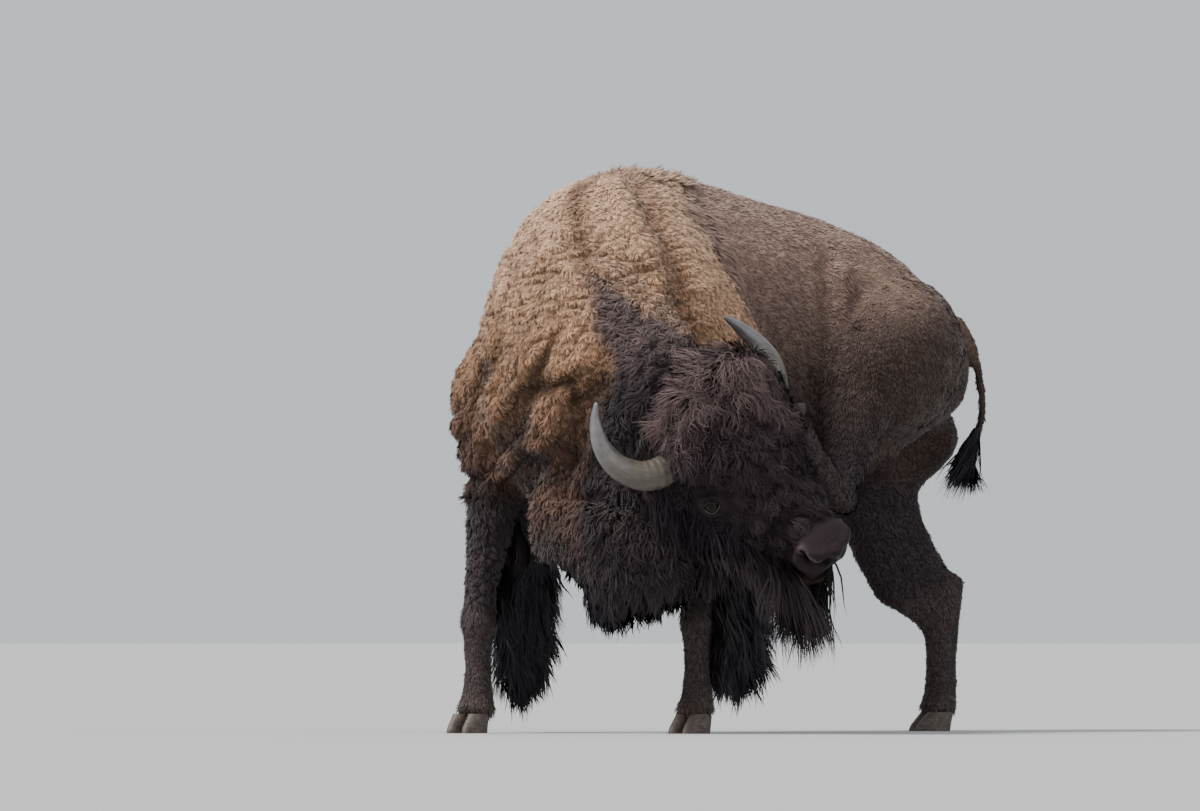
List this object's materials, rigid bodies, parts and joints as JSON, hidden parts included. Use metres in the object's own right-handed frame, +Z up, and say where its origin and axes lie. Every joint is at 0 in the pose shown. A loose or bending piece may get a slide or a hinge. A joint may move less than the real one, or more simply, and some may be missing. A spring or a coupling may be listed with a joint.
{
  "type": "bison bull, still life-size model",
  "caption": "Plains bison bull, life size, standing twisted to its left on three legs and scratching behind its left ear with a lifted hind foot.",
  "frame": {"origin": "on the floor under the middle of the model's bounding box", "axes": "+Z up, -Y the way the shoulders face, +X the animal's left"},
  "size_m": [1.409, 1.9574, 1.8033],
  "materials": {
    "tan_wool": "matte",
    "brown_coat": "matte",
    "dark_hair": "matte",
    "bare_skin": "satin",
    "horn": "satin",
    "hoof": "matte",
    "eye": "gloss"
  },
  "bodies": {
    "root": {"right_horn": "horn", "left_horn": "horn", "right_eye": "eye", "left_eye": "eye", "muzzle": "bare_skin", "head": "dark_hair", "shoulders_and_hump": "tan_wool", "barrel": "brown_coat", "rump": "brown_coat", "neck": "tan_wool", "right_foreleg": "dark_hair", "left_foreleg": "dark_hair", "right_fore_cannon": "dark_hair", "left_fore_cannon": "dark_hair", "right_thigh": "brown_coat", "right_shank": "dark_hair", "right_hind_cannon": "dark_hair", "left_thigh": "brown_coat", "left_shank": "dark_hair", "left_hind_cannon": "dark_hair", "right_fore_left_toe": "hoof", "right_fore_right_toe": "hoof", "left_fore_left_toe": "hoof", "left_fore_right_toe": "hoof", "right_hind_left_toe": "hoof", "right_hind_right_toe": "hoof", "left_hind_left_toe": "hoof", "left_hind_right_toe": "hoof", "right_ear": "dark_hair", "left_ear": "dark_hair", "chin": "bare_skin", "beard": "dark_hair", "throat_mane": "dark_hair", "right_chaps": "dark_hair", "left_chaps": "dark_hair", "tail": "brown_coat", "tail_tuft": "dark_hair", "scrotum": "bare_skin"}
  },
  "joints": []
}
